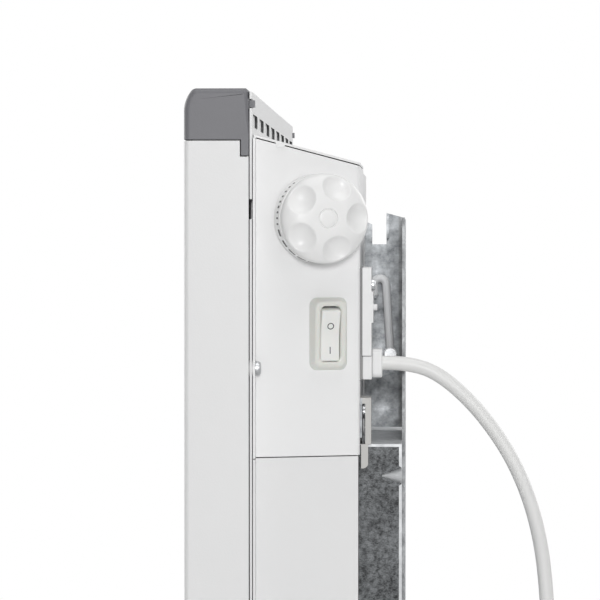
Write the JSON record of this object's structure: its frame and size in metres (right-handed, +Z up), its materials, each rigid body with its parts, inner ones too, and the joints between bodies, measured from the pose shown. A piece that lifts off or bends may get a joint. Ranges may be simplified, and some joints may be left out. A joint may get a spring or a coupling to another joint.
{
  "type": "convector heater",
  "caption": "Wall-hung electric panel convector heater with grey top grille, side control box with thermostat knob and rocker switch, steel wall bracket and mains lead.",
  "frame": {"origin": "middle of the wall bracket's four screw holes, on the wall's face", "axes": "+X along the heater to its control end, +Y out of the bracket's back into the wall, +Z up"},
  "size_m": [0.4445, 0.1673, 0.45],
  "materials": {
    "white_paint": "satin powder coat",
    "grey_plastic": "fine satin moulding",
    "white_plastic": "smooth moulding",
    "dark_plastic": "moulded",
    "pale_plastic": "moulded",
    "galvanised_steel": "spangled zinc",
    "white_wire": "coated wire",
    "zinc_steel": "bright zinc",
    "plain_steel": "machined",
    "brass": "bright",
    "element_aluminium": "extruded",
    "white_pvc": "smooth flexible sheath",
    "black_rubber": "moulded"
  },
  "bodies": {
    "heater": {"front_panel": "white_paint", "back_plate": "white_paint", "rear_casing": "white_paint", "inlet_grille": "white_paint", "control_cover": "white_paint", "control_top": "white_paint", "hanger_hook_right": "white_paint", "hanger_hook_left": "white_paint", "end_cap_right": "grey_plastic", "end_cap_left": "grey_plastic", "top_grille": "grey_plastic", "switch_collar": "white_plastic", "entry_base": "white_plastic", "entry_cover": "white_plastic", "cord_clamp": "white_plastic", "cable_gland": "white_plastic", "thermostat_body": "dark_plastic", "switch_body": "dark_plastic", "overheat_cutout": "dark_plastic", "cord_tie": "dark_plastic", "terminal_block": "pale_plastic", "bracket_rail": "galvanised_steel", "rail_end_right": "galvanised_steel", "rail_end_left": "galvanised_steel", "bracket_upright_right": "galvanised_steel", "bracket_upright_left": "galvanised_steel", "heat_shield": "galvanised_steel", "element_bracket_right": "galvanised_steel", "element_bracket_left": "galvanised_steel", "latch_tab_right": "galvanised_steel", "latch_tab_left": "galvanised_steel", "cover_screws": "zinc_steel", "casing_screws": "zinc_steel", "entry_screw": "zinc_steel", "bracket_rivets": "zinc_steel", "latch_pin_right": "zinc_steel", "latch_pin_left": "zinc_steel", "thermostat_nut": "plain_steel", "element_rod": "plain_steel", "element_terminals": "plain_steel", "terminal_screws": "brass", "plug_pins": "brass", "element_body": "element_aluminium", "power_cord": "white_pvc", "cord_coil": "white_pvc", "mains_plug": "white_pvc", "wire_grommet": "black_rubber"},
    "knob": {"thermostat_knob": "white_plastic", "thermostat_spindle": "plain_steel"},
    "rocker": {"switch_rocker": "white_plastic"},
    "right_latch": {"latch_lever_right": "white_wire"},
    "left_latch": {"latch_lever_left": "white_wire"}
  },
  "joints": [
    {"name": "thermostat_turn", "type": "hinge", "parent": "heater", "child": "knob", "pos_m": [0.20252, -0.03957, 0.1722], "axis": [-0.9563, -0.2924, 0], "range_deg": [0, 270]},
    {"name": "switch_tilt", "type": "hinge", "parent": "heater", "child": "rocker", "pos_m": [0.19881, -0.03495, 0.1204], "axis": [-0.2924, 0.9563, 0], "range_deg": [-14, 0]},
    {"name": "right_latch_swing", "type": "hinge", "parent": "heater", "child": "right_latch", "pos_m": [0.1016, -0.007, 0.107], "axis": [1, 0, 0], "range_deg": [-9, 0]},
    {"name": "left_latch_swing", "type": "hinge", "parent": "heater", "child": "left_latch", "pos_m": [-0.1016, -0.007, 0.107], "axis": [1, 0, 0], "range_deg": [-9, 0]}
  ]
}
